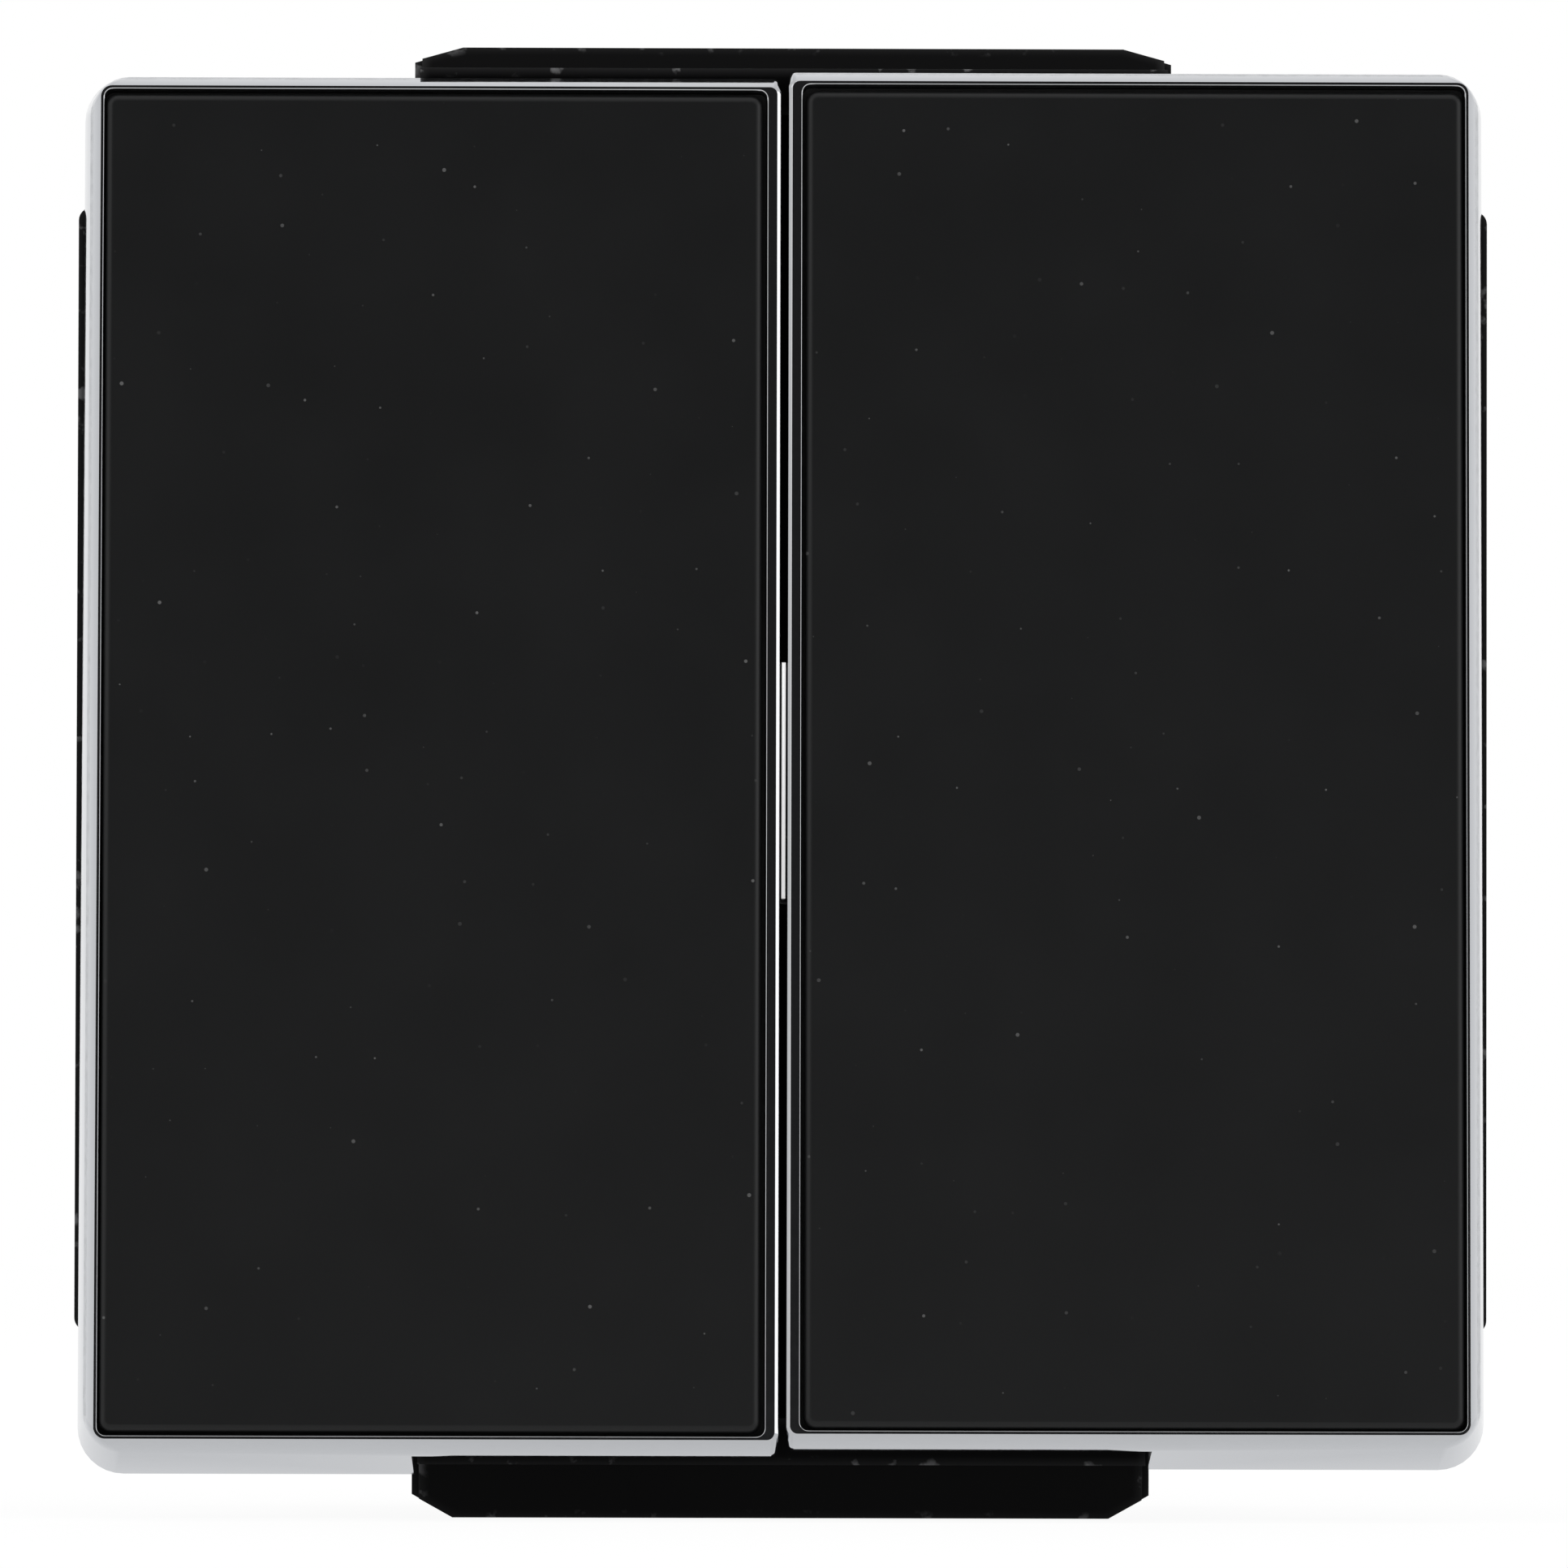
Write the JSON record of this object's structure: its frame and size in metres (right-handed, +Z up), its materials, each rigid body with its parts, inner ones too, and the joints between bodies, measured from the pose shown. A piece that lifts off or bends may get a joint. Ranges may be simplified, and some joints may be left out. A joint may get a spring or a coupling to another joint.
{
  "type": "double rocker wall switch",
  "caption": "Double rocker wall switch with chromed rocker trays, soft black inserts, a locator light strip between them and a two-way contact mechanism in a clipped box.",
  "frame": {"origin": "middle of the support frame's seat, the back face of its flange", "axes": "+X right and +Z up as seen from the front, +Y into the wall"},
  "size_m": [0.0552, 0.0338, 0.0574],
  "materials": {
    "frame_black": "moulded, glossy",
    "box_grey": "moulded, fine matt",
    "guide_white": "frosted light guide",
    "board_green": "printed board",
    "lamp_cream": "diffusing lamp",
    "contact_silver": "silver alloy",
    "screw_steel": "zinc plated",
    "terminal_brass": "stamped brass",
    "tray_chrome": "polished plating on plastic",
    "insert_black": "soft-touch matt",
    "film_black": "black adhesive film",
    "lever_black": "moulded, matt",
    "spring_steel": "spring wire",
    "plunger_white": "acetal",
    "contact_copper": "copper alloy strip"
  },
  "bodies": {
    "base": {"support_frame": "frame_black", "mechanism_cover": "box_grey", "mechanism_housing": "box_grey", "light_guide": "guide_white", "lamp_board": "board_green", "locator_lamp": "lamp_cream", "left_common_terminal": "terminal_brass", "left_upper_terminal": "terminal_brass", "left_lower_terminal": "terminal_brass", "right_common_terminal": "terminal_brass", "right_upper_terminal": "terminal_brass", "right_lower_terminal": "terminal_brass", "fixed_rivets": "contact_silver", "terminal_screws": "screw_steel"},
    "left_key": {"left_bezel": "tray_chrome", "left_insert": "insert_black", "left_film": "film_black", "left_lever": "lever_black", "left_spring": "spring_steel"},
    "left_plunger_pin": {"left_plunger": "plunger_white"},
    "left_contact_rocker": {"left_contact": "contact_copper", "left_contact_rivets": "contact_silver"},
    "right_key": {"right_bezel": "tray_chrome", "right_insert": "insert_black", "right_film": "film_black", "right_lever": "lever_black", "right_spring": "spring_steel"},
    "right_plunger_pin": {"right_plunger": "plunger_white"},
    "right_contact_rocker": {"right_contact": "contact_copper", "right_contact_rivets": "contact_silver"}
  },
  "joints": [
    {"name": "left_rock", "type": "hinge", "parent": "base", "child": "left_key", "pos_m": [-0.01335, -0.00655, -0.00013], "axis": [1, 0, 0], "range_deg": [0, 4.4]},
    {"name": "left_plunger_slide", "type": "slide", "parent": "left_key", "child": "left_plunger_pin", "axis": [0, -0.9993, 0.0384], "range_m": [0, 0.0008], "stiffness_N_per_m": 300, "springref_m": -0.001, "deforming": ["left_spring"]},
    {"name": "left_contact_tilt", "type": "hinge", "parent": "base", "child": "left_contact_rocker", "pos_m": [-0.01, 0.0084, 0], "axis": [1, 0, 0], "range_deg": [-11, 0]},
    {"name": "right_rock", "type": "hinge", "parent": "base", "child": "right_key", "pos_m": [0.01335, -0.00655, 0.00013], "axis": [1, 0, 0], "range_deg": [0, 4.4]},
    {"name": "right_plunger_slide", "type": "slide", "parent": "right_key", "child": "right_plunger_pin", "axis": [0, -0.9993, 0.0384], "range_m": [0, 0.0008], "stiffness_N_per_m": 300, "springref_m": -0.001, "deforming": ["right_spring"]},
    {"name": "right_contact_tilt", "type": "hinge", "parent": "base", "child": "right_contact_rocker", "pos_m": [0.01, 0.0084, 0], "axis": [1, 0, 0], "range_deg": [-11, 0]}
  ],
  "couplings": [
    {"joint": "left_contact_tilt", "follows": "left_rock", "ratio": -2.5},
    {"joint": "right_contact_tilt", "follows": "right_rock", "ratio": -2.5}
  ]
}
